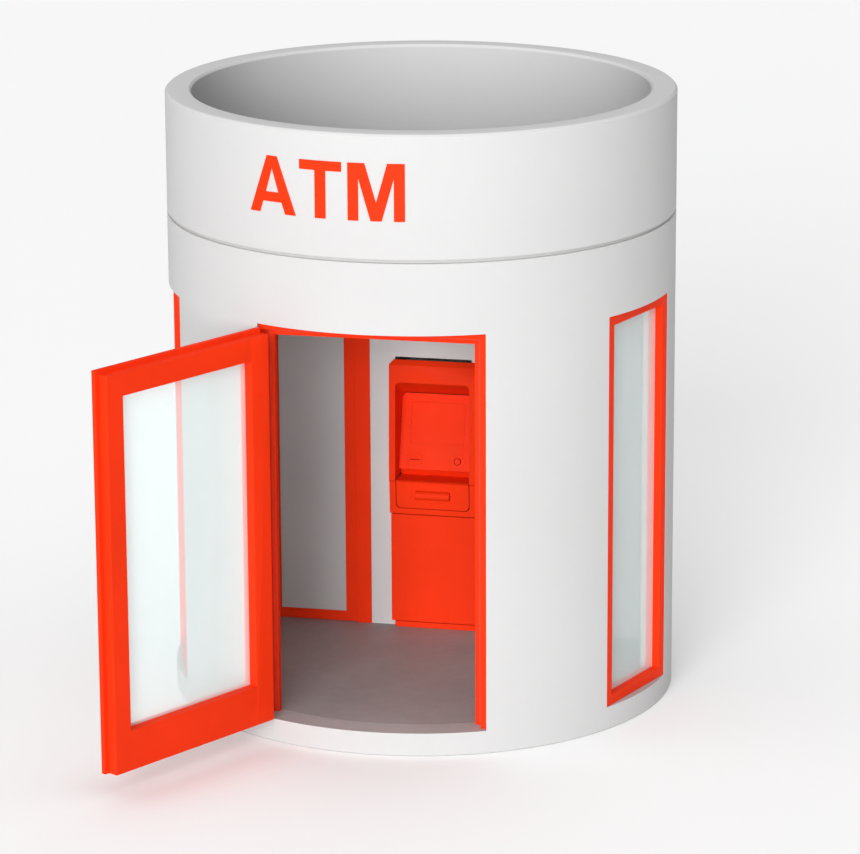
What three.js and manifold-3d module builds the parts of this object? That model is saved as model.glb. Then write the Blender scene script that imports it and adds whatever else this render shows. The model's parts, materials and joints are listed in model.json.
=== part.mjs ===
// Walk-in cylindrical cash-machine kiosk: a precast drum with a parapet ring, a glazed
// entrance leaf standing open, two side lights, a partition with a service door, and a
// cash machine set through the partition with its safe in the service room behind.
// Millimetres, +Z up. Origin: drum axis at ground level. The entrance faces -Y.
import * as THREE from 'three';
import { mergeVertices } from 'three/addons/utils/BufferGeometryUtils.js';
import Module from 'manifold-3d';

const wasm = await Module();
wasm.setup();

// ---------------------------------------------------------------- driving dimensions
const GAP = 0.3;                 // clearance between touching pieces
const FACETS = 72;               // facets round the drum, shared by every round shell

const R_OUT = 1300;              // drum outer radius
const R_IN = 1166.5;             // drum inner radius
const H_TOP = 3145;              // parapet top
const JOINT_LO = 2512;           // recessed joint between drum and parapet
const JOINT_HI = 2530;
const JOINT_DEEP = 12;
const RIM_BEVEL = 12;
const FLOOR = 119;               // finished floor and sills
const SLAB_TOP = 100;
const CEILING = 2400;
const LEDGE = 40;                // bearing ledge of the roof slab
const HEAD_Z = 2153;             // head of the door opening
const WIN_TOP = 2149;            // head of the window openings

const DOOR_HALF = 573;           // entrance opening, half chord
const FRAME_FACE = -1142;        // front face of the entrance frame
const FRAME_BACK = -1040;
const FRAME_X = [-566, 540];     // inner edges of the outer frame member, hinge side first
const STOP_X = [-508, 501];      // inner edges of the door stop
const STOP_FACE = -1086;
const FRAME_HEAD = 2119;
const STOP_HEAD = 2080;

const PIN = [-571, -1177];       // entrance hinge pin
const OPEN_DEG = 119.45;         // the leaf rests this far open
const FLANGE_HALF = 561;         // outer flange of the leaf, half width
const FLANGE_Y = [-1168, -1143];
const FLANGE_TOP = 2140;
const BODY_X = [-561, 535.5];    // leaf body behind the flange, hinge side first
const BODY_BACK = -1090;
const LEAF_LO = 126.6;
const BODY_TOP = 2116;
const LIGHT_X = [-441.2, 433.2]; // glazed opening of the leaf
const LIGHT_Z = [328.6, 2003];
const PANE = 10;
const PANE_Y = -1149;

const WIN_AZ = 71.24;            // side windows, degrees either side of the entrance
const WIN_HALF = 304;
const WIN_CHORD = 1264;
const WIN_FACE = 52;
const WIN_DEEP = 41;

const WALL_Y = [423, 523];       // partition
const CUT_HALF = 207;            // machine cut-out in the partition
const CUT_TOP = 1604;

const SV_OUT = [-1010, -380];    // service door frame
const SV_LIP = [-939, -464];
const SV_JAMB = [-950, -453];
const SV_LEAF = [-947, -456];
const SV_Y = [419, 473];
const SV_FRONT = 428;
const SV_Z = [121, 2083];
const SV_STILE = 66;
const SV_RAIL = 53.5;
const SV_PIN = [-454.5, 481];

const XC = -35;                  // centre line of the machine
const HEAD_X = [XC - 234, XC + 262];  // the head is wider on its right
const PED_X = [XC - 227.5, XC + 255];
const HEAD_LO = 752;
const BEND_Z = 937;              // the head swells out to a lipped bend here
const LIP = 9;                   // the lip's height and undercut
const HEAD_HI = 1566;
const HOOD_HI = 1590;
const FACE_Y = 391;
const BEND_Y = 372;
const NICHE_HALF = 200;
const NICHE_TOP = 1471;
const NICHE_SLOPE = 0.52;
const NICHE_R = 28;
const TRAY_LO = 781;
const SHELF_Z = 939;
const RISER_Y = [507, 480];      // foot and top of the leaning riser behind the shelf
const RISER_TOP = 979;
const TRAY_GAP = 4;              // shadow gap round the dispenser front
const PANEL_BASE = [465, 979.5];
const PANEL_TILT = 15.3;
const PANEL_LEN = 405;
const SAFE_HALF = 205;
const SAFE_Y = [450, 800];

// ---------------------------------------------------------------- helpers
const rad = THREE.MathUtils.degToRad;

function signedVolume(pos, idx) {
  const a = new THREE.Vector3(), b = new THREE.Vector3(), c = new THREE.Vector3();
  let v = 0;
  for (let i = 0; i < idx.length; i += 3) {
    a.fromBufferAttribute(pos, idx[i]);
    b.fromBufferAttribute(pos, idx[i + 1]);
    c.fromBufferAttribute(pos, idx[i + 2]);
    v += a.dot(b.cross(c));
  }
  return v;
}

// A three.js geometry becomes a solid, turned the right way out.
function solid(geometry) {
  const g = geometry.clone();
  g.deleteAttribute('normal');
  g.deleteAttribute('uv');
  const m = mergeVertices(g, 1e-3);
  const idx = Array.from(m.index.array);
  const tri = [];
  for (let i = 0; i < idx.length; i += 3) {
    const [p, q, r] = [idx[i], idx[i + 1], idx[i + 2]];
    if (p !== q && q !== r && r !== p) tri.push(p, q, r);
  }
  if (signedVolume(m.attributes.position, tri) < 0) {
    for (let i = 0; i < tri.length; i += 3) [tri[i + 1], tri[i + 2]] = [tri[i + 2], tri[i + 1]];
  }
  return new wasm.Manifold(new wasm.Mesh({
    numProp: 3,
    vertProperties: new Float32Array(m.attributes.position.array),
    triVerts: new Uint32Array(tri),
  }));
}

function geometryOf(body) {
  const m = body.getMesh();
  const g = new THREE.BufferGeometry();
  g.setAttribute('position', new THREE.BufferAttribute(new Float32Array(m.vertProperties), 3));
  g.setIndex(new THREE.BufferAttribute(new Uint32Array(m.triVerts), 1));
  const flat = g.toNonIndexed();
  flat.computeVertexNormals();
  return flat;
}

const join = (...list) => list.reduce((a, b) => a.add(b));
const cut = (body, ...tools) => tools.reduce((a, b) => a.subtract(b), body);

function box([x0, x1], [y0, y1], [z0, z1]) {
  const g = new THREE.BoxGeometry(x1 - x0, y1 - y0, z1 - z0);
  g.translate((x0 + x1) / 2, (y0 + y1) / 2, (z0 + z1) / 2);
  return solid(g);
}

// A closed profile of [radius, z] points turned about Z.
function turned(points, segments = FACETS) {
  const pts = points.map(([r, z]) => new THREE.Vector2(r, z));
  if (points[0][0] > 0 || points[points.length - 1][0] > 0) pts.push(pts[0].clone());
  const g = new THREE.LatheGeometry(pts, segments);
  g.rotateX(Math.PI / 2);
  return solid(g);
}
const ring = (ro, ri, z0, z1, seg) => turned([[ri, z0], [ro, z0], [ro, z1], [ri, z1]], seg);
const disc = (r, z0, z1, seg) => turned([[0, z0], [r, z0], [r, z1], [0, z1]], seg);

// A bar of round section along an axis: 'x', 'y' or 'z'.
function rod(axis, [cx, cy, cz], r, length, segments = 20) {
  const g = new THREE.CylinderGeometry(r, r, length, segments);
  if (axis === 'x') g.rotateZ(Math.PI / 2);
  if (axis === 'z') g.rotateX(Math.PI / 2);
  g.translate(cx, cy, cz);
  return solid(g);
}

// An outline in the XZ plane, run along Y from y0 to y1.
function alongY(shape, y0, y1) {
  const g = new THREE.ExtrudeGeometry(shape, { depth: y1 - y0, bevelEnabled: false, curveSegments: 4 });
  g.rotateX(Math.PI / 2);
  g.translate(0, y1, 0);
  return g;
}

// An outline in the YZ plane, run along X from x0 to x1.
function alongX(points, x0, x1) {
  const shape = new THREE.Shape(points.map(([y, z]) => new THREE.Vector2(y, z)));
  const g = new THREE.ExtrudeGeometry(shape, { depth: x1 - x0, bevelEnabled: false });
  g.rotateY(Math.PI / 2);
  g.rotateX(Math.PI / 2);
  g.translate(x0, 0, 0);
  return solid(g);
}

// An outline in the XY plane, run up Z from z0 to z1.
function alongZ(points, z0, z1) {
  const shape = new THREE.Shape(points.map(([x, y]) => new THREE.Vector2(x, y)));
  const g = new THREE.ExtrudeGeometry(shape, { depth: z1 - z0, bevelEnabled: false });
  g.translate(0, 0, z0);
  return solid(g);
}

function roundedRect(x0, x1, z0, z1, rLo, rHi) {
  const s = new THREE.Shape();
  s.moveTo(x0 + rLo, z0);
  s.lineTo(x1 - rLo, z0);
  if (rLo > 0) s.absarc(x1 - rLo, z0 + rLo, rLo, -Math.PI / 2, 0, false);
  s.lineTo(x1, z1 - rHi);
  if (rHi > 0) s.absarc(x1 - rHi, z1 - rHi, rHi, 0, Math.PI / 2, false);
  s.lineTo(x0 + rHi, z1);
  if (rHi > 0) s.absarc(x0 + rHi, z1 - rHi, rHi, Math.PI / 2, Math.PI, false);
  s.lineTo(x0, z0 + rLo);
  if (rLo > 0) s.absarc(x0 + rLo, z0 + rLo, rLo, Math.PI, Math.PI * 1.5, false);
  return s;
}

// ---------------------------------------------------------------- finishes
const finish = (color, roughness, metalness = 0, more = {}) =>
  () => new THREE.MeshStandardMaterial({ color, roughness, metalness, ...more });
const concrete = finish(0xf2f2f1, 0.75);
const concreteGrey = finish(0xb9b8b5, 0.85);
const paving = finish(0x857f7d, 0.7);
const membrane = finish(0x55585a, 0.8);
const orange = finish(0xf5401c, 0.42);
const clear = finish(0xe8f1f0, 0.05, 0, { transparent: true, opacity: 0.3 });
const panelGrey = finish(0xb6b6b5, 0.6);
const steel = finish(0xb4b6b8, 0.32, 1);
const darkSteel = finish(0x4a4d50, 0.5, 0.6);
const rubber = finish(0x1f1f20, 0.8);
const moulding = finish(0x3a3c3e, 0.55);

const kiosk = new THREE.Group();

function piece(name, body, material, parent = kiosk) {
  const mesh = new THREE.Mesh(geometryOf(body), material());
  mesh.name = name;
  parent.add(mesh);
  return mesh;
}

// ---------------------------------------------------------------- drum, roof and parapet
// The rainwater pipe stands on this axis and leaves through the floor to the ground drain.
const DRAIN = [675, 800];
const PIPE = { half: 42, bore: 37, socket: 50, sleeve: 44 };
const shaft = (half, z0, z1) => box([DRAIN[0] - half, DRAIN[0] + half],
  [DRAIN[1] - half, DRAIN[1] + half], [z0, z1]);
const sleeveHole = shaft(PIPE.sleeve, -10, FLOOR + 10);
piece('base_slab', cut(disc(R_IN - GAP, 0, SLAB_TOP), sleeveHole), concreteGrey);

const doorway = box([-DOOR_HALF, DOOR_HALF], [-1500, -850], [FLOOR, HEAD_Z]);
const winCut = (side) => {
  const g = new THREE.BoxGeometry(2 * WIN_HALF, 500, WIN_TOP - FLOOR);
  g.translate(0, -WIN_CHORD + 60, (WIN_TOP + FLOOR) / 2);
  g.rotateZ(rad(side * WIN_AZ));
  return solid(g);
};
piece('drum_wall', cut(
  turned([[R_IN, 0], [R_OUT, 0], [R_OUT, JOINT_LO], [R_IN + LEDGE, JOINT_LO],
    [R_IN + LEDGE, CEILING], [R_IN, CEILING]]),
  doorway, winCut(1), winCut(-1)), concrete);

const drainHole = (r, z0, z1) => rod('z', [DRAIN[0], DRAIN[1], (z0 + z1) / 2], r, z1 - z0, 20);
piece('roof_slab', cut(disc(R_IN + LEDGE - 0.6, CEILING + GAP, JOINT_LO - GAP),
  drainHole(45, CEILING - 10, JOINT_LO + 10)), concreteGrey);
piece('roof_membrane', cut(disc(R_IN - 8, JOINT_LO, JOINT_LO + 5),
  drainHole(45, JOINT_LO - 10, JOINT_LO + 20)), membrane);
// The upturn of the membrane, dressed up the inside of the parapet.
piece('roof_upturn', turned([[R_IN - 7, JOINT_LO], [R_IN - 0.6, JOINT_LO], [R_IN - 0.6, 2640],
  [R_IN - 6, 2640], [R_IN - 7, JOINT_LO + 60]]), membrane);

piece('joint_ring', ring(R_OUT - JOINT_DEEP, R_IN, JOINT_LO + GAP, JOINT_HI - GAP), concreteGrey);
piece('parapet_ring', turned([[R_IN, JOINT_HI], [R_OUT, JOINT_HI], [R_OUT, H_TOP - RIM_BEVEL],
  [R_OUT - RIM_BEVEL, H_TOP], [R_IN + RIM_BEVEL, H_TOP], [R_IN, H_TOP - RIM_BEVEL]]), concrete);

// Roof outlet: a flanged throat with a domed, slotted leaf guard above the membrane.
function roofDrain() {
  const tube = ring(44, 38, CEILING + 0.6 - JOINT_LO - 5.4, 6, 20);
  let guard = turned([[38, 0], [72, 0], [72, 6], [54, 8], [48, 26], [32, 42], [10, 47],
    [10, 41], [28, 37], [42, 24], [38, 8]], 20);
  for (let i = 0; i < 8; i++) {
    const g = new THREE.BoxGeometry(60, 8, 20);
    g.translate(50, 0, 24);
    g.rotateZ((i + 0.5) * Math.PI / 4);
    guard = guard.subtract(solid(g));
  }
  return join(guard, tube).translate(DRAIN[0], DRAIN[1], JOINT_LO + 5.4);
}
piece('roof_drain', roofDrain(), darkSteel);
// Square downpipe with a wider socket under the roof slab, open at its foot just above the ground.
const downpipe = shaft(PIPE.half, 2, CEILING - 60).add(shaft(PIPE.socket, CEILING - 60, CEILING - GAP));
piece('drain_pipe', cut(downpipe, shaft(PIPE.bore, 0, CEILING + 10)), panelGrey);

// ---------------------------------------------------------------- sign letters
// Plain block capitals, each bent to the parapet by cutting it from a thin round shell.
const shell = ring(R_OUT + 4, R_OUT + GAP, 2600, 3100, 2 * FACETS);
const LETTER = { lo: 2720, hi: 3004 };
const atAz = (az) => R_OUT * Math.sin(rad(az));
function letter(outline, holes = []) {
  const toPoint = ([az, t]) => new THREE.Vector2(atAz(az), LETTER.lo + t * (LETTER.hi - LETTER.lo));
  const s = new THREE.Shape(outline.map(toPoint));
  for (const h of holes) s.holes.push(new THREE.Path(h.map(toPoint)));
  return solid(alongY(s, -1320, -1050)).intersect(shell);
}
piece('letter_a', letter(
  [[-27.4, 0], [-24.7, 0], [-23.8, 0.2], [-19.05, 0.2], [-18.15, 0], [-15.45, 0], [-20.1, 1], [-22.75, 1]],
  [[[-23.05, 0.37], [-19.8, 0.37], [-21.43, 0.78]]]), orange);
piece('letter_t', letter(
  [[-10.95, 0], [-8.4, 0], [-8.4, 0.83], [-4.8, 0.83], [-4.8, 1], [-14.55, 1], [-14.55, 0.83],
    [-10.95, 0.83]]),
orange);
piece('letter_m', letter(
  [[-3.45, 0], [-1.1, 0], [-1.1, 0.74], [1.55, 0], [3.95, 0], [6.6, 0.74], [6.6, 0], [8.95, 0], [8.95, 1],
    [5.2, 1], [2.75, 0.32], [0.3, 1], [-3.45, 1]]), orange);

// ---------------------------------------------------------------- floor
piece('floor_finish', cut(disc(R_IN - 3, SLAB_TOP + GAP, FLOOR), sleeveHole), paving);

// ---------------------------------------------------------------- entrance frame and seal
const frameX = DOOR_HALF - GAP;
piece('entrance_frame', cut(
  box([-frameX, frameX], [FRAME_FACE, FRAME_BACK], [FLOOR + GAP, HEAD_Z - GAP]),
  box(FRAME_X, [FRAME_FACE - 1, STOP_FACE], [0, FRAME_HEAD]),
  box(STOP_X, [STOP_FACE - 1, FRAME_BACK + 1], [0, STOP_HEAD])), orange);
piece('frame_seal', cut(
  box([-533, 533], [STOP_FACE - 3.2, STOP_FACE - GAP], [130, 2112]),
  box([-521, 521], [STOP_FACE - 9, STOP_FACE + 9], [0, 2100])), finish(0xd8431f, 0.75));

// ---------------------------------------------------------------- hinge halves
// The fixed half carries the pin; the moving half is a bored knuckle that drops on it.
const knuckle = (pin, z0, z1, r) => rod('z', [pin[0], pin[1], (z0 + z1) / 2], r, z1 - z0, 16);
function fixedHalf(pin, z0, len, r, rPin, plate) {
  return join(knuckle(pin, z0, z0 + len, r), knuckle(pin, z0 + len - 1, z0 + 2 * len - 3, rPin), plate);
}
function movingHalf(pin, z0, len, r, rPin, plate) {
  const low = z0 + len + 0.6, high = z0 + 2 * len;
  return cut(join(knuckle(pin, low, high, r), plate), knuckle(pin, low - 5, high - 2, rPin + 0.4));
}

const E_HINGES = { bottom: 330, top: 1830 };
for (const [name, z0] of Object.entries(E_HINGES)) {
  const plate = box([-frameX, -569], [PIN[1] + 2, FRAME_FACE - 1.5], [z0 - 25, z0 + 45]);
  piece(`entrance_hinge_${name}_fixed`, fixedHalf(PIN, z0, 45, 8, 4, plate), steel);
}

// ---------------------------------------------------------------- entrance leaf
// Modelled closed, then turned about the hinge pin to its resting position.
const leafPivot = new THREE.Group();
leafPivot.position.set(PIN[0], PIN[1], 0);
leafPivot.rotation.z = rad(-OPEN_DEG);
kiosk.add(leafPivot);
const leaf = new THREE.Group();
leaf.position.set(-PIN[0], -PIN[1], 0);
leafPivot.add(leaf);

const groove = box([LIGHT_X[0] - 14.5, LIGHT_X[1] + 14.5], [PANE_Y - 0.5, PANE_Y + PANE + 0.5],
  [LIGHT_Z[0] - 14.5, LIGHT_Z[1] + 14.5]);
const BODY_Y = [FLANGE_Y[1] - 0.01, BODY_BACK];
const member = (bodyX, bodyZ, flangeX, flangeZ) =>
  cut(join(box(bodyX, BODY_Y, bodyZ), box(flangeX, FLANGE_Y, flangeZ)), groove);
piece('leaf_stile_lock', member([LIGHT_X[1], BODY_X[1]], [LEAF_LO, BODY_TOP],
  [LIGHT_X[1], FLANGE_HALF], [LEAF_LO, FLANGE_TOP]), orange, leaf);
piece('leaf_stile_hinge', member([BODY_X[0], LIGHT_X[0]], [LEAF_LO, BODY_TOP],
  [-FLANGE_HALF, LIGHT_X[0]], [LEAF_LO, FLANGE_TOP]), orange, leaf);
const railX = [LIGHT_X[0] + GAP, LIGHT_X[1] - GAP];
piece('leaf_rail_top', member(railX, [LIGHT_Z[1], BODY_TOP], railX, [LIGHT_Z[1], FLANGE_TOP]), orange, leaf);
piece('leaf_rail_bottom', member(railX, [LEAF_LO, LIGHT_Z[0]], railX, [LEAF_LO, LIGHT_Z[0]]), orange, leaf);
piece('leaf_glass', box([LIGHT_X[0] - 13.5, LIGHT_X[1] + 13.5], [PANE_Y, PANE_Y + PANE],
  [LIGHT_Z[0] - 13.5, LIGHT_Z[1] + 13.5]), clear, leaf);

const PULL = { x: 483, y: FLANGE_Y[0] - 42, z0: 850, z1: 1450, r: 11 };
piece('leaf_pull', join(
  rod('z', [PULL.x, PULL.y, (PULL.z0 + PULL.z1) / 2], PULL.r, PULL.z1 - PULL.z0, 16),
  ...[PULL.z0 + 60, PULL.z1 - 60].flatMap((z) => [
    rod('y', [PULL.x, (PULL.y + FLANGE_Y[0] - GAP) / 2, z], 8, FLANGE_Y[0] - GAP - PULL.y, 12),
    rod('y', [PULL.x, FLANGE_Y[0] - GAP - 2.5, z], 16, 5, 16)])), steel, leaf);

for (const [name, z0] of Object.entries(E_HINGES)) {
  const plate = box([PIN[0], -505], [FLANGE_Y[0] - 3.5, FLANGE_Y[0] - GAP], [z0 + 45.6, z0 + 115]);
  piece(`entrance_hinge_${name}_leaf`, movingHalf(PIN, z0, 45, 8, 4, plate), steel, leaf);
}

// ---------------------------------------------------------------- side windows
// Modelled facing -Y, then turned to each side.
for (const [name, side] of [['right', 1], ['left', -1]]) {
  const g = new THREE.Group();
  g.rotation.z = rad(side * WIN_AZ);
  kiosk.add(g);
  const front = -WIN_CHORD + GAP;
  const seat = front + WIN_DEEP;
  const back = front + 84;
  const xo = WIN_HALF - GAP, xi = WIN_HALF - WIN_FACE;
  const zo = [FLOOR + GAP, WIN_TOP - GAP], zi = [FLOOR + WIN_FACE, WIN_TOP - WIN_FACE];
  const lap = 13;
  piece(`window_frame_${name}`, cut(box([-xo, xo], [front, back], zo),
    box([-xi, xi], [front - 1, back + 1], zi),
    box([-xi - lap, xi + lap], [seat, back + 1], [zi[0] - lap, zi[1] + lap])), orange, g);
  piece(`window_glass_${name}`, box([-xi - lap + 0.6, xi + lap - 0.6], [seat + GAP, seat + GAP + PANE],
    [zi[0] - lap + 0.6, zi[1] + lap - 0.6]), clear, g);
  piece(`window_bead_${name}`, cut(
    box([-xi - lap + GAP, xi + lap - GAP], [seat + PANE + 2 * GAP, back - 12],
      [zi[0] - lap + GAP, zi[1] + lap - GAP]),
    box([-xi, xi], [seat, back + 1], zi)), orange, g);
}

// ---------------------------------------------------------------- partition
const cutX = [XC - CUT_HALF, XC + CUT_HALF];
piece('partition_wall', cut(
  disc(R_IN - GAP, FLOOR + GAP, CEILING - GAP).intersect(box([-1300, 1300], WALL_Y, [0, 3000])),
  box([SV_OUT[0] - GAP, SV_OUT[1] + GAP], [0, 900], [0, 2150]),
  box(cutX, [0, 900], [0, CUT_TOP])), panelGrey);

// ---------------------------------------------------------------- service door
piece('service_frame', cut(
  box(SV_OUT, SV_Y, [FLOOR + GAP, 2149.6]),
  box(SV_JAMB, [SV_FRONT - 0.5, SV_Y[1] + 1], [0, 2086]),
  box(SV_LIP, [SV_Y[0] - 1, SV_Y[1] + 1], [0, 2075])), orange);

const LEVER = { x: -914, z: 1050 };
const svIn = [SV_LEAF[0] + SV_STILE, SV_LEAF[1] - SV_STILE];
const svInZ = [SV_Z[0] + SV_RAIL, SV_Z[1] - SV_STILE];
piece('service_leaf', cut(
  box(SV_LEAF, [SV_FRONT, SV_Y[1]], SV_Z),
  box(svIn, [SV_FRONT - 1, SV_Y[1] + 1], svInZ),
  box([svIn[0] - 9, svIn[1] + 9], [437.5, 463.5], [svInZ[0] - 9, svInZ[1] + 9]),
  rod('y', [LEVER.x, 450, LEVER.z], 8.4, 80)), orange);
piece('service_panel', box([svIn[0] - 8, svIn[1] + 8], [438, 463], [svInZ[0] - 8, svInZ[1] + 8]), panelGrey);

// Handles on both faces share one spindle; they hang down at rest.
const leverArm = (y0, y1) => join(
  box([LEVER.x - 9, LEVER.x + 9], [y0, y1], [LEVER.z - 115, LEVER.z]),
  rod('y', [LEVER.x, (y0 + y1) / 2, LEVER.z], 13, y1 - y0, 16),
  rod('y', [LEVER.x, (y0 + y1) / 2, LEVER.z - 115], 9, y1 - y0, 16));
piece('service_lever', join(
  rod('y', [LEVER.x, 450, LEVER.z], 8, 130),
  leverArm(382, 394), leverArm(506, 518)), steel);

const S_HINGES = { bottom: 300, top: 1800 };
for (const [name, z0] of Object.entries(S_HINGES)) {
  const y = [SV_Y[1] + GAP, SV_Y[1] + 3.3];
  const fixed = join(box([SV_PIN[0], -405], y, [z0 - 20, z0 + 40]),
    box([SV_PIN[0] - 2, SV_PIN[0] + 2], [y[0], SV_PIN[1]], [z0, z0 + 40]));
  const moving = join(box([-505, SV_PIN[0] - 2], y, [z0 + 40.6, z0 + 100]),
    box([SV_PIN[0] - 4, SV_PIN[0]], [y[0], SV_PIN[1]], [z0 + 40.6, z0 + 80]));
  piece(`service_hinge_${name}_fixed`, fixedHalf(SV_PIN, z0, 40, 6, 3, fixed), steel);
  piece(`service_hinge_${name}_leaf`, movingHalf(SV_PIN, z0, 40, 6, 3, moving), steel);
}

// ---------------------------------------------------------------- machine head
const faceAt = (z) => FACE_Y + (BEND_Y + LIP - FACE_Y) * (z - HEAD_LO) / (BEND_Z - LIP - HEAD_LO);
const P_DOOR = { x0: PED_X[0], x1: PED_X[1], z0: 153, z1: 747, pin: [PED_X[1] - 8, 414] };

// The niche outline, raked down towards the back.
function nicheTool(half, grow, y0, y1) {
  const g = alongY(roundedRect(XC - half, XC + half, 850, NICHE_TOP + grow, 0, NICHE_R), y0, y1);
  const rake = new THREE.Matrix4().set(
    1, 0, 0, 0, 0, 1, 0, 0, 0, -NICHE_SLOPE, 1, NICHE_SLOPE * FACE_Y, 0, 0, 0, 1);
  g.applyMatrix4(rake);
  return solid(g);
}
const traySpace = (half, lo, hi) => roundedRect(XC - half, XC + half, lo, hi, NICHE_R - 2, 0);
const corner = (edge, side) => {
  const s = new THREE.Shape([[1, HEAD_HI], [-24, HOOD_HI + 1], [1, HOOD_HI + 1]]
    .map(([x, z]) => new THREE.Vector2(edge + side * x, z)));
  return solid(alongY(s, 300, 500));
};
// The lower face falls back under the lip and then runs down to the pedestal.
const LIP_FACE = [BEND_Y + LIP, BEND_Z - LIP];
const headBack = WALL_Y[0] - GAP;
piece('head_fascia', join(cut(
  alongX([[headBack, HEAD_LO], [FACE_Y, HEAD_LO], LIP_FACE, [BEND_Y, BEND_Z], [FACE_Y, HEAD_HI],
    [FACE_Y + 24, HOOD_HI], [headBack, HOOD_HI]], ...HEAD_X),
  nicheTool(NICHE_HALF, 0, 340, 440),
  solid(alongY(traySpace(NICHE_HALF, TRAY_LO, 1000), 340, 440)),
  corner(HEAD_X[1], 1), corner(HEAD_X[0], -1)),
rod('z', [P_DOOR.pin[0], P_DOOR.pin[1], HEAD_LO - 5], 4, 14, 20)), orange);

piece('niche_shell', cut(
  box([XC - 206, XC + 206], [WALL_Y[0] + GAP, 592], [SHELF_Z + 3, 1500]),
  nicheTool(NICHE_HALF, 0, 400, 620)), orange);

// Dispenser front: fills the foot of the niche, with a level shelf and a riser behind it.
const D_HALF = NICHE_HALF - TRAY_GAP;
const SHUT = { y: 384, z: 859, r: 23, half: 92 };
const rotorPocket = join(
  rod('x', [XC, SHUT.y, SHUT.z], SHUT.r + 1, 2 * SHUT.half + 2, 32),
  rod('x', [XC, SHUT.y, SHUT.z], 5.4, 2 * SHUT.half + 18, 24));
const trayLo = TRAY_LO + TRAY_GAP;
const pad = solid(alongY(roundedRect(XC - 114, XC + 114, 820, 912, 16, 10), 340, 400))
  .intersect(alongX([[340, 812], [faceAt(812) + 4, 812], [faceAt(916) + 4, 916], [340, 916]],
    XC - 130, XC + 130));
piece('dispenser_front', cut(
  alongX([[faceAt(trayLo), trayLo], LIP_FACE, [BEND_Y + 0.3, BEND_Z], [BEND_Y + 3, SHELF_Z],
    [RISER_Y[0], SHELF_Z], [RISER_Y[1], RISER_TOP], [RISER_Y[1] + 12, RISER_TOP],
    [RISER_Y[0] + 12, SHELF_Z - 4], [RISER_Y[0] + 12, trayLo]], XC - D_HALF, XC + D_HALF)
    .intersect(solid(alongY(traySpace(D_HALF, trayLo, 1000), 340, 540))),
  pad, rotorPocket,
  box([XC - 82, XC + 82], [SHUT.y + 10, 540], [SHUT.z - 6, SHUT.z + 6])), orange);

// Rotary cash shutter: a slotted rotor with end journals; a quarter turn lines up the slot.
piece('cash_shutter', cut(
  join(rod('x', [XC, SHUT.y, SHUT.z], SHUT.r, 2 * SHUT.half, 32),
    rod('x', [XC, SHUT.y, SHUT.z], 5, 2 * SHUT.half + 14, 24)),
  box([XC - 80, XC + 80], [SHUT.y - 4, SHUT.y + 4], [SHUT.z - 40, SHUT.z + 40])), orange);

// Receipt slot cover, lying on the leaning riser.
const riser = new THREE.Group();
riser.position.set(XC, RISER_Y[0], SHELF_Z);
riser.rotation.x = Math.atan2(RISER_Y[0] - RISER_Y[1], RISER_TOP - SHELF_Z);
kiosk.add(riser);
let louvre = box([-50, 20], [-2.6, -GAP], [6, 37]);
for (let i = -1; i <= 1; i++) {
  const g = new THREE.BoxGeometry(7, 12, 22);
  g.rotateY(rad(24));
  g.translate(-15 + i * 16, -1, 21.5);
  louvre = louvre.subtract(solid(g));
}
piece('receipt_louvre', louvre, orange, riser);

// ---------------------------------------------------------------- raked screen panel
// Local frame: x across, z up the panel, -y out of its face.
const panel = new THREE.Group();
panel.position.set(XC, PANEL_BASE[0], PANEL_BASE[1]);
panel.rotation.x = rad(-PANEL_TILT);
kiosk.add(panel);
const BUTTON = { x: 116, z: 51, r: 16, hole: 20.5, halo: 43 };
const CARD = { x: -117, z: 51, w: 79, h: 57 };
const SCREEN = { half: 144, z0: 138, z1: 358 };
const KEY = { x: -157, w: 15, h: 6, z: [178, 222, 266, 310] };
const keyShape = (z, grow) => roundedRect(KEY.x - KEY.w / 2 - grow, KEY.x + KEY.w / 2 + grow,
  z - KEY.h / 2 - grow, z + KEY.h / 2 + grow, KEY.h / 2, KEY.h / 2);
const rect = (c, grow) => roundedRect(c.x - c.w / 2 - grow, c.x + c.w / 2 + grow,
  c.z - c.h / 2 - grow, c.z + c.h / 2 + grow, 8, 8);
const screenShape = (grow) => roundedRect(-SCREEN.half - grow, SCREEN.half + grow,
  SCREEN.z0 - grow, SCREEN.z1 + grow, 6, 6);
piece('screen_panel', cut(
  solid(alongY(roundedRect(-199.4, 199.4, 0, PANEL_LEN, 0, 24), 0, 14)),
  solid(alongY(screenShape(0.8), -1, 7)),
  box([-SCREEN.half + 20, SCREEN.half - 20], [6, 15], [SCREEN.z0 + 20, SCREEN.z1 - 20]),
  solid(alongY(rect(CARD, 0.8), -1, 7)),
  box([CARD.x - 30, CARD.x + 30], [6, 15], [CARD.z - 6, CARD.z + 6]),
  rod('y', [BUTTON.x, 5, BUTTON.z], BUTTON.hole, 40, 32),
  cut(rod('y', [BUTTON.x, 0, BUTTON.z], BUTTON.halo + 1.4, 5, 40),
    rod('y', [BUTTON.x, 0, BUTTON.z], BUTTON.halo, 6, 40)),
  ...KEY.z.map((z) => solid(alongY(keyShape(z, 0.6), -5, 20)))), orange, panel);
piece('display', solid(alongY(screenShape(0), 0, 6.5)), orange, panel);
piece('card_reader', cut(
  solid(alongY(rect(CARD, 0), 0, 6.5)),
  cut(rod('y', [CARD.x, 0, CARD.z], 16.5, 8, 32), rod('y', [CARD.x, 0, CARD.z], 12, 9, 32)),
  box([CARD.x - 28, CARD.x + 28], [-10, 20], [CARD.z - 1.4, CARD.z + 1.4])), orange, panel);
piece('push_button', join(rod('y', [BUTTON.x, 5, BUTTON.z], BUTTON.r, 24, 32),
  rod('y', [BUTTON.x, 17.6, BUTTON.z], BUTTON.hole + 4, 5, 32)), orange, panel);
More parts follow.
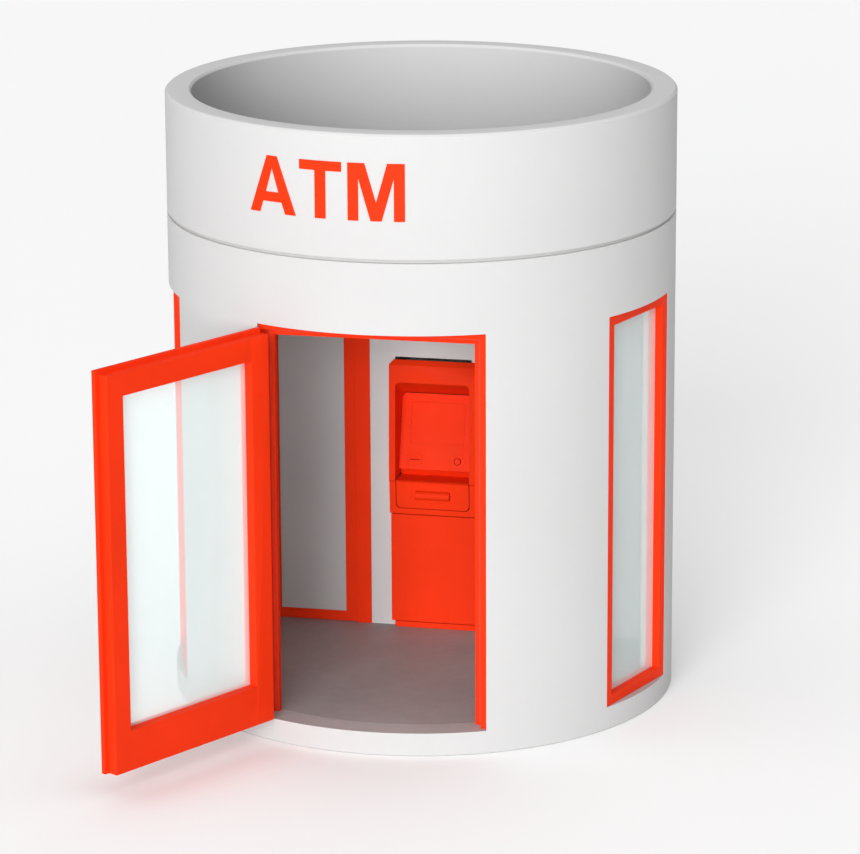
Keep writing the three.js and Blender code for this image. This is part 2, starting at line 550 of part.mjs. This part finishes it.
KEY.z.forEach((z, i) => piece(`side_key_${i + 1}`, join(
  solid(alongY(keyShape(z, 0), -2, 16)),
  box([KEY.x - 10, KEY.x + 10], [15, 18], [z - 5, z + 5])), orange, panel));

// ---------------------------------------------------------------- pedestal
const socket = (z0, z1) => rod('z', [P_DOOR.pin[0], P_DOOR.pin[1], (z0 + z1) / 2], 4.4, z1 - z0, 20);
piece('pedestal_door', cut(
  alongZ([[P_DOOR.x0, FACE_Y], [P_DOOR.x1, FACE_Y], [P_DOOR.x1, headBack - 6.3],
    [P_DOOR.x1 - 6, headBack - GAP], [P_DOOR.x0, headBack - GAP]], P_DOOR.z0, P_DOOR.z1),
  socket(P_DOOR.z0 - 5, P_DOOR.z0 + 14), socket(P_DOOR.z1 - 14, P_DOOR.z1 + 5)), orange);
piece('plinth_cover', join(
  box([XC - 209.5, PED_X[1]], [FACE_Y, headBack], [FLOOR + GAP, 149.5]),
  box([P_DOOR.pin[0] - 12, P_DOOR.pin[0] + 8], [404, headBack], [140, 149.5]),
  rod('z', [P_DOOR.pin[0], P_DOOR.pin[1], 154], 4, 18, 20)), orange);

// ---------------------------------------------------------------- safe and its contents
const safeX = [XC - SAFE_HALF, XC + SAFE_HALF];
const SAFE_Z = [FLOOR + GAP, 740];
const S_DOOR = { x: [safeX[0], safeX[0] + 300], y: [SAFE_Y[1] + GAP, 822], z: [150, 720] };
const S_PIN = [safeX[0] - 8, 810];
const sKnuckles = [230, 560];
const fixedKnuckle = (z0) => join(knuckle(S_PIN, z0, z0 + 40, 6), knuckle(S_PIN, z0 + 39, z0 + 78, 3),
  box([S_PIN[0], safeX[0] + 0.5], [770, 799], [z0, z0 + 40]),
  box([S_PIN[0] - 3, S_PIN[0] + 3], [790, 810], [z0, z0 + 40]));
piece('safe_body', join(cut(
  box(safeX, SAFE_Y, SAFE_Z),
  box([safeX[0] + 15, safeX[1] - 15], [SAFE_Y[0] + 15, SAFE_Y[1] - 15], [SAFE_Z[0] + 15, SAFE_Z[1] - 15]),
  box([safeX[0] + 15, safeX[0] + 285], [SAFE_Y[1] - 40, SAFE_Y[1] + 10], [165, 705])),
...sKnuckles.map(fixedKnuckle)), darkSteel);
const SH = { x: XC + 40, z: 435 };
piece('safe_door', cut(join(
  box(S_DOOR.x, S_DOOR.y, S_DOOR.z),
  ...sKnuckles.map((z0) => join(knuckle(S_PIN, z0 + 40.6, z0 + 80, 6),
    box([S_PIN[0], S_DOOR.x[0] + 1], [807, 813], [z0 + 40.6, z0 + 80])))),
...sKnuckles.map((z0) => knuckle(S_PIN, z0 + 30, z0 + 79, 3.4)),
rod('y', [SH.x, 822, SH.z], 10.4, 20)), darkSteel);
piece('safe_handle', join(
  rod('y', [SH.x, 831.5, SH.z], 10, 38, 24),
  rod('y', [SH.x, 850, SH.z], 18, 12, 24),
  box([SH.x - 8, SH.x + 8], [845, 855], [SH.z - 110, SH.z])), steel);

// Note module with its cassettes, standing on the floor of the safe.
let noteModule = box([XC - 130, XC + 130], [500, 740], [SAFE_Z[0] + 15 + GAP, 640]);
for (let i = 0; i < 4; i++) {
  const z = 190 + i * 108;
  noteModule = cut(noteModule, box([XC - 118, XC + 118], [560, 760], [z, z + 4]),
    box([XC - 40, XC + 40], [726, 760], [z + 40, z + 70]));
}
piece('note_module', noteModule, moulding);

// Upper cabinet behind the partition: open at the front around the niche, louvred at the back.
const U_Z = [748, 1645];
let upper = cut(
  box([XC - 222, XC + 222], [WALL_Y[1] + GAP, 780], U_Z),
  box([XC - 218, XC + 218], [WALL_Y[1] - 5, 776], [U_Z[0] + 4, U_Z[1] - 4]));
for (let i = 0; i < 6; i++) {
  upper = cut(upper, box([XC - 120, XC + 120], [770, 790], [1480 + i * 22, 1490 + i * 22]));
}
piece('upper_cabinet', upper, panelGrey);

export default kiosk;
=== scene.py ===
import json
from math import sin, cos, pi, radians
import bpy, bmesh
from mathutils import Matrix, Vector


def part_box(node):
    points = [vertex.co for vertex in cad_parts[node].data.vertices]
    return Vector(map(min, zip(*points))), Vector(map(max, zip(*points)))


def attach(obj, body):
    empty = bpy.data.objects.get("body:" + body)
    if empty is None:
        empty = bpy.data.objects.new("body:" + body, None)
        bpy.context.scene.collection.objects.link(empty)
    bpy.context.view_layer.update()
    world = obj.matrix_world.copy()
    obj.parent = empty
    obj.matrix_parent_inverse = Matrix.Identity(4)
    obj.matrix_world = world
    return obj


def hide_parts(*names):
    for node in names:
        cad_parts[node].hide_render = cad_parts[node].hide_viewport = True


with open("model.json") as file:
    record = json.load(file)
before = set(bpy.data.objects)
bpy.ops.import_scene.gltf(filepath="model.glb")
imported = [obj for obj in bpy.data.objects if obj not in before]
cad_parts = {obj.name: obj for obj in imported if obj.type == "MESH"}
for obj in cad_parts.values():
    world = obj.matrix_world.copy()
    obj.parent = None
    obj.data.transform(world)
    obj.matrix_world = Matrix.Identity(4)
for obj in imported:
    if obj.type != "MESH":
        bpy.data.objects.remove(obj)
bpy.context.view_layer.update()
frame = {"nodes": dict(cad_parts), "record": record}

NODES = frame["nodes"]
MM = 0.001
FIT = 0.3 * MM                                     # gap between parts set into each other

# ---------------------------------------------------------------- camera
LENS, SENSOR = 177.55, 36                          # mm
PITCH, ROLL, HEADING = 0.26631, 0.00481, -0.2161   # radians; pitch is down, heading is from +Y to +X
EYE = Vector((4.588, -20.728, 7.135))              # m


def camera():
    level = Vector((sin(HEADING), cos(HEADING), 0))
    right = Vector((cos(HEADING), -sin(HEADING), 0))
    ahead = level * cos(PITCH) - Vector((0, 0, sin(PITCH)))
    down = ahead.cross(right)
    r = right * cos(ROLL) + down * sin(ROLL)
    d = down * cos(ROLL) - right * sin(ROLL)
    data = bpy.data.cameras.new("camera")
    data.lens, data.sensor_width, data.sensor_fit = LENS, SENSOR, "HORIZONTAL"
    data.clip_start, data.clip_end = 0.5, 400
    cam = bpy.data.objects.new("camera", data)
    m = Matrix((r, -d, -ahead)).transposed().to_4x4()
    m.translation = EYE
    cam.matrix_world = m
    bpy.context.scene.collection.objects.link(cam)
    bpy.context.scene.camera = cam


camera()

# ---------------------------------------------------------------- node helpers


class Nodes:
    """A short way to write a shader: n("ShaderNodeX", {property: value}, Input=socket or value)."""

    def __init__(self, tree):
        self.t = tree

    def n(self, kind, props=None, **inputs):
        node = self.t.nodes.new(kind)
        for k, v in (props or {}).items():
            setattr(node, k, v)
        for k, v in inputs.items():
            self.put(node, k.replace("_", " "), v)
        return node

    def put(self, node, key, v):
        """Links a socket, or sets a value, on the input with this name or number."""
        if isinstance(v, bpy.types.NodeSocket):
            self.t.links.new(v, node.inputs[key])
        else:
            node.inputs[key].default_value = v

    def fill(self, node, *values):
        """Puts the values in the first inputs, in order, and returns the first output."""
        for i, v in enumerate(values):
            self.put(node, i, v)
        return node.outputs[0]

    def coords(self):
        return self.n("ShaderNodeTexCoord").outputs["Object"]

    def noise(self, vec, scale, detail=4, rough=0.55):
        node = self.n("ShaderNodeTexNoise", Vector=vec, Scale=scale, Detail=detail, Roughness=rough)
        return node.outputs["Fac"]

    def ramp(self, fac, *stops):
        """A grey ramp through (position, value) stops."""
        node = self.n("ShaderNodeValToRGB", Fac=fac)
        el = node.color_ramp.elements
        while len(el) > 1:
            el.remove(el[-1])
        for i, (p, c) in enumerate(stops):
            e = el[0] if i == 0 else el.new(p)
            e.position = p
            e.color = (c, c, c, 1)
        return node.outputs["Color"]

    def mix(self, fac, a, b):
        """Blends two colours, each a socket or a (red, green, blue) tuple."""
        node = self.n("ShaderNodeMix", {"data_type": "RGBA"})
        self.put(node, 0, fac)
        for i, v in ((6, a), (7, b)):
            self.put(node, i, (*v, 1) if isinstance(v, tuple) else v)
        return node.outputs[2]

    def math(self, op, a, b, clamp=False):
        return self.fill(self.n("ShaderNodeMath", {"operation": op, "use_clamp": clamp}), a, b)

    def span(self, v, lo, hi, out_lo, out_hi):
        """Maps lo..hi to out_lo..out_hi, and holds the end values beyond."""
        return self.fill(self.n("ShaderNodeMapRange", {"clamp": True}), v, lo, hi, out_lo, out_hi)

    def bump(self, height, strength, distance):
        node = self.n("ShaderNodeBump", Height=height, Strength=strength, Distance=distance)
        return node.outputs["Normal"]


def material(name, build):
    m = bpy.data.materials.new(name)
    m.use_nodes = True
    t = m.node_tree
    t.nodes.clear()
    n = Nodes(t)
    out = t.nodes.new("ShaderNodeOutputMaterial")
    bsdf = t.nodes.new("ShaderNodeBsdfPrincipled")
    t.links.new(bsdf.outputs[0], out.inputs[0])
    build(n, lambda key, v: n.put(bsdf, key, v))
    return m


def edge_mask(n, radius, gain):
    """Near one where the surface turns sharply, near nought on flats."""
    soft = n.n("ShaderNodeBevel", {"samples": 4}, Radius=radius)
    geo = n.n("ShaderNodeNewGeometry")
    dot = n.n("ShaderNodeVectorMath", {"operation": "DOT_PRODUCT"})
    n.t.links.new(soft.outputs[0], dot.inputs[0])
    n.t.links.new(geo.outputs["Normal"], dot.inputs[1])
    turn = n.math("SUBTRACT", 1.0, dot.outputs["Value"], clamp=True)
    return n.math("MULTIPLY", turn, gain, clamp=True)


SHEEN = 0.3                                        # specular level of a matt surface


def cast(color, shade, rough=0.72):
    """Precast concrete: cloudy tone, fine sand grain and small air pores."""
    def build(n, put):
        c = n.coords()
        cloud = n.noise(c, 1.1, 3, 0.5)
        fine = n.noise(c, 26, 6, 0.65)
        grain = n.noise(c, 420, 3, 0.6)
        tone = n.math("ADD", n.math("MULTIPLY", cloud, 0.6), n.math("MULTIPLY", fine, 0.4))
        darker = tuple(x * shade for x in color)
        put("Base Color", n.mix(n.span(tone, 0.38, 0.62, 0, 1), darker, color))
        vor = n.n("ShaderNodeTexVoronoi", Vector=c, Scale=34, Randomness=1).outputs["Distance"]
        hole = n.span(vor, 0.03, 0.075, -1, 0)
        rare = n.span(n.noise(c, 9, 2), 0.55, 0.62, 0, 1)
        pore = n.math("MULTIPLY", n.math("MULTIPLY", hole, rare), 0.5)
        relief = n.math("ADD", pore, n.math("MULTIPLY", grain, 0.25))
        relief = n.math("ADD", relief, n.math("MULTIPLY", fine, 0.3))
        put("Normal", n.bump(relief, 0.35, 1.2 * MM))
        put("Roughness", n.span(fine, 0.3, 0.7, rough - 0.06, rough + 0.1))
        put("Specular IOR Level", SHEEN)
    return build


def coat(color, chip, rough, peel=1.0, wear=0.5, var=0.93, gloss=SHEEN):
    """Powder coat: slight tone change, fine flecks, orange-peel texture and rubbed edges."""
    def build(n, put):
        c = n.coords()
        broad = n.noise(c, 2.3, 3, 0.5)
        peelh = n.noise(c, 520, 2, 0.5)
        smudge = n.noise(c, 14, 5, 0.7)
        base = n.mix(n.span(broad, 0.35, 0.65, 0, 1), tuple(x * var for x in color), color)
        fleck = n.span(n.noise(c, 260, 2, 0.6), 0.3, 0.7, 0, 0.16)
        base = n.mix(fleck, base, tuple(x * 0.72 for x in color))
        rubbed = n.span(n.noise(c, 60, 4, 0.7), 0.42, 0.62, 0, 1)
        edge = n.math("MULTIPLY", edge_mask(n, 2.5 * MM, 2.2), rubbed)
        put("Base Color", n.mix(n.math("MULTIPLY", edge, wear * 0.5), base, chip))
        put("Normal", n.bump(peelh, 0.12 * peel, 0.4 * MM))
        put("Roughness", n.math("ADD", n.span(smudge, 0.3, 0.7, rough - 0.05, rough + 0.09),
                                n.math("MULTIPLY", edge, 0.15)))
        put("Specular IOR Level", gloss)
    return build


def brushed(color, rough):
    """Brushed metal: fine upright lines in the tone, the roughness and the relief."""
    def build(n, put):
        c = n.coords()
        st = n.n("ShaderNodeMapping", Vector=c)
        st.inputs["Scale"].default_value = (900, 900, 14)    # stretched along Z
        line = n.noise(st.outputs[0], 1.0, 4, 0.7)
        put("Base Color", n.mix(n.span(line, 0.3, 0.7, 0, 1), tuple(x * 0.82 for x in color), color))
        put("Roughness", n.span(line, 0.25, 0.75, rough - 0.08, rough + 0.14))
        put("Normal", n.bump(line, 0.12, 0.2 * MM))
        put("Metallic", 1.0)
    return build


def glass(n, put):
    """Pale laminated glass: a faint milky body, a little clearer face on."""
    c = n.coords()
    smear = n.noise(c, 5, 5, 0.6)
    edge = n.n("ShaderNodeLayerWeight", Blend=0.3).outputs["Facing"]
    put("Base Color", n.mix(n.span(smear, 0.3, 0.7, 0, 1), (0.84, 0.975, 0.965), (0.86, 0.99, 0.98)))
    cover = n.math("ADD", edge, n.math("MULTIPLY", smear, 0.01))
    put("Alpha", n.span(cover, 0.0, 1.0, 0.30, 0.45))
    put("Roughness", n.span(smear, 0.3, 0.7, 0.02, 0.06))


def rubber(color, rough, scale=300):
    """Matt rubber, felt or moulded plastic: broad tone changes and an even grain."""
    def build(n, put):
        c = n.coords()
        g = n.noise(c, scale, 4, 0.6)
        dark, light = (tuple(x * k for x in color) for k in (0.8, 1.3))
        put("Base Color", n.mix(n.noise(c, 12, 4), dark, light))
        put("Roughness", n.span(g, 0.3, 0.7, rough - 0.08, rough + 0.1))
        put("Normal", n.bump(g, 0.25, 0.5 * MM))
    return build


def paving(n, put, lift=1.0):
    """Fine terrazzo: cloudy grey with small flecks, honed smooth, its cloud lightened by lift."""
    c = n.coords()
    fleck = n.n("ShaderNodeTexVoronoi", Vector=c, Scale=170, Randomness=1).outputs["Color"]
    grey = n.n("ShaderNodeSeparateColor", Color=fleck).outputs[0]
    broad = n.noise(c, 3, 4, 0.6)
    dark, light = (0.295, 0.285, 0.285), (0.335, 0.323, 0.322)
    dark, light = (tuple(x * lift for x in tone) for tone in (dark, light))
    base = n.mix(n.span(broad, 0.35, 0.65, 0, 1), dark, light)
    put("Base Color", n.mix(n.span(grey, 0.0, 1.0, 0.0, 0.16), base, (0.42, 0.40, 0.38)))
    put("Roughness", n.span(n.noise(c, 20, 5, 0.6), 0.3, 0.7, 0.5, 0.68))
    put("Normal", n.bump(n.noise(c, 260, 3), 0.15, 0.4 * MM))


ORANGE = (0.86, 0.036, 0.005)
LIT_ORANGE = (0.95, 0.10, 0.04)                    # the same coat where an edge is rubbed
LOOKS = {
    "cast_white": cast((0.565, 0.563, 0.563), 0.97),
    "cast_grey": cast((0.50, 0.50, 0.495), 0.94, 0.8),
    "paving": paving,
    "sill": lambda n, put: paving(n, put, 1.3),
    "membrane": rubber((0.07, 0.075, 0.08), 0.75, 160),
    "orange_coat": coat(ORANGE, LIT_ORANGE, 0.5, gloss=0.06),
    "clear_glass": glass,
    "grey_panel": coat((0.48, 0.475, 0.475), (0.3, 0.3, 0.3), 0.55, 0.7, 0.3, 0.95),
    "grey_board": coat((0.60, 0.59, 0.59), (0.35, 0.35, 0.35), 0.65, 1.6, 0.2, 0.95),
    "bright_steel": brushed((0.62, 0.63, 0.64), 0.28),
    "dark_steel": coat((0.045, 0.05, 0.055), (0.3, 0.3, 0.31), 0.5, 2.5, 0.6, 0.85),
    "seal_orange": rubber((0.70, 0.032, 0.006), 0.72),
    "moulding": rubber((0.04, 0.043, 0.046), 0.55, 700),
}
MATS = {name: material(name, build) for name, build in LOOKS.items()}
SLOT = {s["node"]: s["material_slot"] for s in frame["record"]["subparts"]}

# ---------------------------------------------------------------- mesh helpers


def obj_from(name, bm_or_mesh, slot):
    """An object on the kiosk body, from a BMesh or a mesh, in the slot's material."""
    if isinstance(bm_or_mesh, bmesh.types.BMesh):
        me = bpy.data.meshes.new(name)
        bm_or_mesh.to_mesh(me)
        bm_or_mesh.free()
    else:
        me = bm_or_mesh
    o = bpy.data.objects.new(name, me)
    bpy.context.scene.collection.objects.link(o)
    me.materials.clear()
    me.materials.append(MATS[slot])
    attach(o, "kiosk")
    return o


def smooth(o, angle):
    """Smooth shading, with sharp edges over the angle in degrees."""
    me = o.data
    bm = bmesh.new()
    bm.from_mesh(me)
    for f in bm.faces:
        f.smooth = True
    for e in bm.edges:
        if len(e.link_faces) == 2:
            e.smooth = e.calc_face_angle(0) < radians(angle)
    bm.to_mesh(me)
    bm.free()


def bevel(o, width, segments, angle):
    """A bevel on the edges that turn by more than the angle in degrees."""
    b = o.modifiers.new("bevel", "BEVEL")
    b.width, b.segments, b.limit_method, b.angle_limit = width, segments, "ANGLE", radians(angle)


def bevelled(o, width):
    """Welds a faceted part's loose corners and softens its edges."""
    o.modifiers.new("weld", "WELD").merge_threshold = 0.05 * MM
    bevel(o, width, 3, 32)


TURN_STEPS, ARC_STEPS, BANDS = 288, 4, 6           # sides of a turned face, steps in a corner, wall bands


def lathe_bm(profile):
    """A closed (radius, z) profile, clear of the axis, turned about Z, as a BMesh."""
    bm = bmesh.new()
    rings = []
    for i in range(TURN_STEPS):
        a = 2 * pi * i / TURN_STEPS
        rings.append([bm.verts.new((r * sin(a), -r * cos(a), z)) for r, z in profile])
    m = len(profile)
    for i in range(TURN_STEPS):
        p, q = rings[i], rings[(i + 1) % TURN_STEPS]
        for j in range(m):
            k = (j + 1) % m
            bm.faces.new((p[j], p[k], q[k], q[j]))
    bmesh.ops.recalc_face_normals(bm, faces=bm.faces)
    return bm


def box_bm(lo, hi, turn=0.0):
    """A box between two corners, turned about Z by radians, as a BMesh."""
    bm = bmesh.new()
    bmesh.ops.create_cube(bm, size=1)
    for v in bm.verts:
        for i in range(3):
            v.co[i] = lo[i] + (v.co[i] + 0.5) * (hi[i] - lo[i])
    if turn:
        bmesh.ops.rotate(bm, verts=bm.verts, cent=(0, 0, 0), matrix=Matrix.Rotation(turn, 3, "Z"))
    return bm


def carve(name, bm, cutters, slot):
    """Cuts the cutters out of a BMesh and returns the finished object."""
    me = bpy.data.meshes.new(name)
    bm.to_mesh(me)
    bm.free()
    o = bpy.data.objects.new(name + "_raw", me)
    bpy.context.scene.collection.objects.link(o)
    tools = []
    for i, c in enumerate(cutters):
        cm = bpy.data.meshes.new(f"{name}_cut{i}")
        c.to_mesh(cm)
        c.free()
        t = bpy.data.objects.new(cm.name, cm)
        bpy.context.scene.collection.objects.link(t)
        tools.append(t)
        m = o.modifiers.new("cut", "BOOLEAN")
        m.operation, m.solver, m.object = "DIFFERENCE", "EXACT", t
    bpy.context.view_layer.update()
    done = bpy.data.meshes.new_from_object(o.evaluated_get(bpy.context.evaluated_depsgraph_get()))
    for x in [o, *tools]:
        bpy.data.objects.remove(x)
    return obj_from(name, done, slot)


# ---------------------------------------------------------------- drum, parapet and joint
top_lo, top_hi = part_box("parapet_ring")
wall_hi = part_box("drum_wall")[1]
R_OUT = top_hi.x
R_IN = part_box("base_slab")[1].x + FIT
H = top_hi.z
JLO, JHI = wall_hi.z, top_lo.z                     # the recessed joint, between the drum and the parapet
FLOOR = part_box("floor_finish")[1].z
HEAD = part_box("entrance_frame")[1].z + FIT
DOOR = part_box("entrance_frame")[1].x + FIT
WIN_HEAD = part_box("window_frame_right")[1].z + FIT
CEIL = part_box("roof_slab")[0].z - FIT
LEDGE = 0.040                                      # the drum's inside steps out by this above CEIL


def rounded(profile, radii):
    """Rounds the corners of a closed profile whose numbers have a radius."""
    out = []
    m = len(profile)
    for i, p in enumerate(profile):
        r = radii.get(i, 0)
        if not r:
            out.append(p)
            continue
        p = Vector(p)
        a, b = Vector(profile[i - 1]) - p, Vector(profile[(i + 1) % m]) - p
        a, b = a.normalized() * r, b.normalized() * r
        for s in range(ARC_STEPS + 1):
            t = s / ARC_STEPS
            out.append(tuple(p + a * (1 - t) ** 2 + b * t ** 2))
    return out


def stack(z0, z1):
    """The heights that divide a wall into even bands."""
    return [z0 + (z1 - z0) * i / BANDS for i in range(BANDS + 1)]


ARRIS = 0.004                                      # at the drum's foot and head
DOOR_Y0, DOOR_Y1 = -1.5, -0.85                     # the doorway's cutter, from outside to inside
WIN_AZ, WIN_HALF = radians(71.24), 0.304           # a window's turn from the doorway, and half its width
WIN_CHORD = 1.264                                  # the window plane's distance from the axis
WIN_OUT, WIN_INTO = 0.19, 0.31                     # how far its cutter reaches out and in from that plane
outer = [(R_OUT, z) for z in stack(ARRIS, JLO - ARRIS)]
inner = [(R_IN, z) for z in reversed(stack(0.0, CEIL))]
rim = [(R_OUT - ARRIS, JLO), (R_IN + LEDGE, JLO), (R_IN + LEDGE, CEIL)]
win_lo = (-WIN_HALF, -WIN_CHORD - WIN_OUT, FLOOR)
win_hi = (WIN_HALF, -WIN_CHORD + WIN_INTO, WIN_HEAD)
cutters = [box_bm((-DOOR, DOOR_Y0, FLOOR), (DOOR, DOOR_Y1, HEAD))]
cutters += [box_bm(win_lo, win_hi, s * WIN_AZ) for s in (1, -1)]
drum = carve("drum_shell", lathe_bm([(R_OUT - ARRIS, 0)] + outer + rim + inner), cutters, "cast_white")
drum.data.materials.append(MATS["sill"])
for f in drum.data.polygons:
    if f.normal.z > 0.9 and abs(f.center.z - FLOOR) < 0.002:
        f.material_index = 1                       # the sills are honed, a little lighter than the floor
smooth(drum, 25)
bevel(drum, 2.2 * MM, 2, 40)
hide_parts("drum_wall")

SPLAY = 0.012                                      # the chamfer along the parapet's top
parapet = obj_from("parapet_shell", lathe_bm(rounded(
    [(R_IN, JHI), (R_OUT, JHI), (R_OUT, H - SPLAY), (R_OUT - SPLAY, H),
     (R_IN + SPLAY, H), (R_IN, H - SPLAY)],
    {0: 0.003, 1: 0.003, 2: 0.004, 3: 0.004, 4: 0.004, 5: 0.004})), "cast_white")
smooth(parapet, 30)
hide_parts("parapet_ring")

jl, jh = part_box("joint_ring")
joint = obj_from("joint_band", lathe_bm(rounded(
    [(R_IN, jl.z), (jh.x, jl.z), (jh.x, jh.z), (R_IN, jh.z)], {1: 0.002, 2: 0.002})), "cast_grey")
smooth(joint, 30)
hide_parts("joint_ring")

# ---------------------------------------------------------------- painted shade in the service leaf's gap
def service_gap_shade():
    """A near-black strip in the joint between the service leaf and its frame: painted shade for the
    shadowed gap there.
    """
    lo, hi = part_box("service_leaf")
    strip = box_bm((hi.x + 0.1 * MM, lo.y - 0.4 * MM, lo.z + 1 * MM),
                   (hi.x + 3.4 * MM, lo.y + 4 * MM, hi.z - 1 * MM))
    # the moulding colour here is painted shade, standing in for the gap's shadow
    bevelled(obj_from("service_gap_shade", strip, "moulding"), 0.7 * MM)


service_gap_shade()

# ---------------------------------------------------------------- finishes on the CAD nodes
# the width of the edge bevel in each slot, in metres
FINE = {"orange_coat": 0.0016, "cast_grey": 0.002, "paving": 0.001, "grey_panel": 0.0012,
        "grey_board": 0.0015, "bright_steel": 0.0006, "dark_steel": 0.0012, "moulding": 0.001,
        "membrane": 0.001}
for name, o in NODES.items():
    s = SLOT[name]
    o.data.materials.clear()
    o.data.materials.append(MATS[s])
    if s in FINE:
        bevelled(o, FINE[s])
    if s == "clear_glass":
        o.visible_shadow = False                   # clear glass lets the light through

# ---------------------------------------------------------------- stage and light
FILL, KEY, DOME = 2.9, 0.95, 1.16                  # strengths of the two distant lights and of the sky
WHITE = 0.93                                       # how much of the light the studio floor returns


def floor():
    bm = bmesh.new()
    s = 120                                        # metres each way
    bm.faces.new([bm.verts.new(p) for p in ((-s, -s, 0), (s, -s, 0), (s, s, 0), (-s, s, 0))])
    me = bpy.data.meshes.new("floor")
    bm.to_mesh(me)
    bm.free()
    o = bpy.data.objects.new("floor", me)
    o.location.z = -0.5 * MM
    bpy.context.scene.collection.objects.link(o)

    def build(n, put):
        put("Base Color", (WHITE, WHITE, WHITE, 1))
        put("Roughness", 1.0)
        put("Specular IOR Level", 0.0)
    me.materials.append(material("floor", build))


def sun(name, energy, az, el, size):
    """A distant light whose rays travel towards the azimuth and down by the elevation, in degrees."""
    s = bpy.data.lights.new(name, "SUN")
    s.energy, s.angle = energy, radians(size)
    o = bpy.data.objects.new(name, s)
    az, el = radians(az), radians(el)
    ray = Vector((cos(az) * cos(el), sin(az) * cos(el), -sin(el)))
    o.rotation_euler = ray.to_track_quat("-Z", "Y").to_euler()
    bpy.context.scene.collection.objects.link(o)


def light():
    """A white studio: a broad low front light, a smaller one a little higher and from the left, and a sky
    that is dark at the horizon and bright overhead."""
    sun("fill", FILL, 93, 6, 34)
    sun("key", KEY, 84, 22, 28)
    w = bpy.data.worlds.new("studio")
    bpy.context.scene.world = w
    w.use_nodes = True
    t = w.node_tree
    t.nodes.clear()
    n = Nodes(t)
    out = t.nodes.new("ShaderNodeOutputWorld")
    bg = t.nodes.new("ShaderNodeBackground")
    t.links.new(bg.outputs[0], out.inputs[0])
    g = n.n("ShaderNodeTexCoord").outputs["Generated"]
    z = n.n("ShaderNodeSeparateXYZ", Vector=g).outputs["Z"]    # nought at the horizon, one overhead
    t.links.new(n.ramp(z, (0.0, 0.02), (0.45, 0.05), (0.72, 1.0)), bg.inputs["Color"])
    bg.inputs["Strength"].default_value = DOME


floor()
light()
bpy.context.scene.view_settings.view_transform = "Standard"
